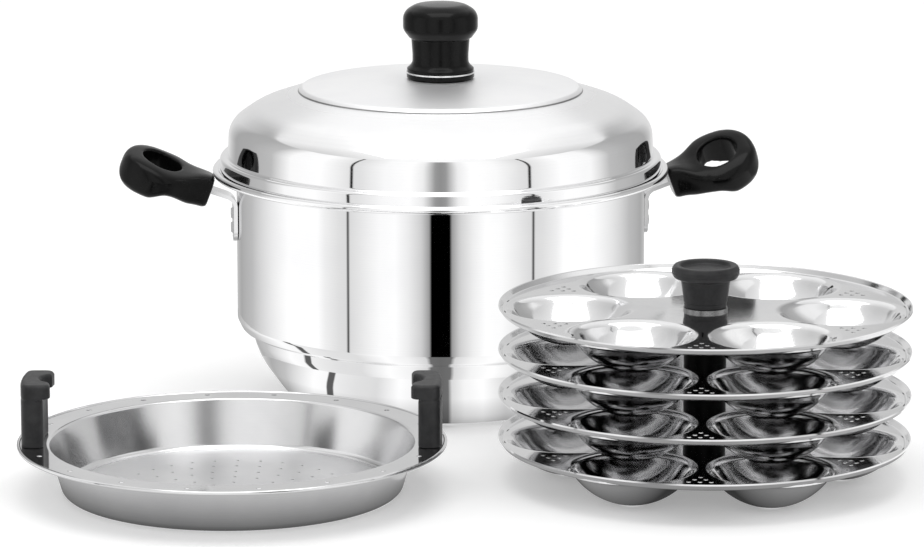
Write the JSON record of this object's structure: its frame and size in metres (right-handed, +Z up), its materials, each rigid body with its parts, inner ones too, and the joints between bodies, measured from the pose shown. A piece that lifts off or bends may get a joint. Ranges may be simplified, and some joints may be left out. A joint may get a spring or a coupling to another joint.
{
  "type": "idli steamer",
  "caption": "Stepped steel steaming pot with a domed lid, a perforated tray with upright grips and a stand of round cupped plates on a central rod.",
  "frame": {"origin": "centre of the pot's flat base, on the table that the pot, the tray and the stand stand on", "axes": "+Z up; +X from the pot's left grip towards its right grip; -Y towards the tray and the stand in front of the pot"},
  "size_m": [0.4359, 0.4328, 0.2069],
  "materials": {
    "polished_steel": "mirror-polished stainless steel",
    "satin_steel": "satin stainless steel",
    "steel_fittings": "bright stainless steel fittings",
    "black_bakelite": "glossy black bakelite",
    "grey_bakelite": "dark grey semi-matt bakelite",
    "brass_insert": "plain brass"
  },
  "bodies": {
    "pot": {"pot_shell": "polished_steel", "pot_strap_right": "steel_fittings", "pot_strap_left": "steel_fittings", "pot_grip_right": "black_bakelite", "pot_grip_left": "black_bakelite", "pot_rivets": "steel_fittings", "pot_grip_screws": "steel_fittings"},
    "lid": {"lid_shell": "polished_steel", "lid_knob_disc": "black_bakelite", "lid_knob_ring": "steel_fittings", "lid_knob": "black_bakelite", "lid_knob_bush": "brass_insert", "lid_knob_washer": "steel_fittings", "lid_knob_screw": "steel_fittings"},
    "tray": {"steamer_tray": "satin_steel", "tray_grip_right": "grey_bakelite", "tray_grip_left": "grey_bakelite", "tray_screws": "steel_fittings"},
    "stand": {"stand_rod": "steel_fittings", "stand_foot_washer": "steel_fittings", "stand_foot_nut": "steel_fittings"},
    "plate_4": {"idli_plate_4": "satin_steel"},
    "spacer_3": {"stand_spacer_3": "grey_bakelite"},
    "plate_3": {"idli_plate_3": "satin_steel"},
    "spacer_2": {"stand_spacer_2": "grey_bakelite"},
    "plate_2": {"idli_plate_2": "satin_steel"},
    "spacer_1": {"stand_spacer_1": "grey_bakelite"},
    "plate_1": {"idli_plate_1": "satin_steel"},
    "knob_washer": {"stand_knob_washer": "steel_fittings"},
    "stand_knob": {"stand_knob": "grey_bakelite", "stand_knob_insert": "brass_insert"}
  },
  "joints": [
    {"name": "lid_lift", "type": "slide", "parent": "pot", "child": "lid", "axis": [0, 0, 1], "range_m": [0, 0.12]},
    {"name": "tray_lift", "type": "slide", "parent": "pot", "child": "tray", "axis": [0, 0, 1], "range_m": [0, 0.12]},
    {"name": "stand_lift", "type": "slide", "parent": "pot", "child": "stand", "axis": [0, 0, 1], "range_m": [0, 0.12]},
    {"name": "plate_4_turn", "type": "hinge", "parent": "stand", "child": "plate_4", "pos_m": [0.13009, -0.18137, 0], "axis": [0, 0, 1], "continuous": true},
    {"name": "spacer_3_lift", "type": "slide", "parent": "plate_4", "child": "spacer_3", "axis": [0, 0, 1], "range_m": [0, 0.05]},
    {"name": "plate_3_turn", "type": "hinge", "parent": "spacer_3", "child": "plate_3", "pos_m": [0.13009, -0.18137, 0], "axis": [0, 0, 1], "continuous": true},
    {"name": "spacer_2_lift", "type": "slide", "parent": "plate_3", "child": "spacer_2", "axis": [0, 0, 1], "range_m": [0, 0.05]},
    {"name": "plate_2_turn", "type": "hinge", "parent": "spacer_2", "child": "plate_2", "pos_m": [0.13009, -0.18137, 0], "axis": [0, 0, 1], "continuous": true},
    {"name": "spacer_1_lift", "type": "slide", "parent": "plate_2", "child": "spacer_1", "axis": [0, 0, 1], "range_m": [0, 0.05]},
    {"name": "plate_1_turn", "type": "hinge", "parent": "spacer_1", "child": "plate_1", "pos_m": [0.13009, -0.18137, 0], "axis": [0, 0, 1], "continuous": true},
    {"name": "knob_washer_lift", "type": "slide", "parent": "plate_1", "child": "knob_washer", "axis": [0, 0, 1], "range_m": [0, 0.03]},
    {"name": "stand_knob_turn", "type": "hinge", "parent": "knob_washer", "child": "stand_knob", "pos_m": [0.13009, -0.18137, 0], "axis": [0, 0, 1], "continuous": true}
  ]
}
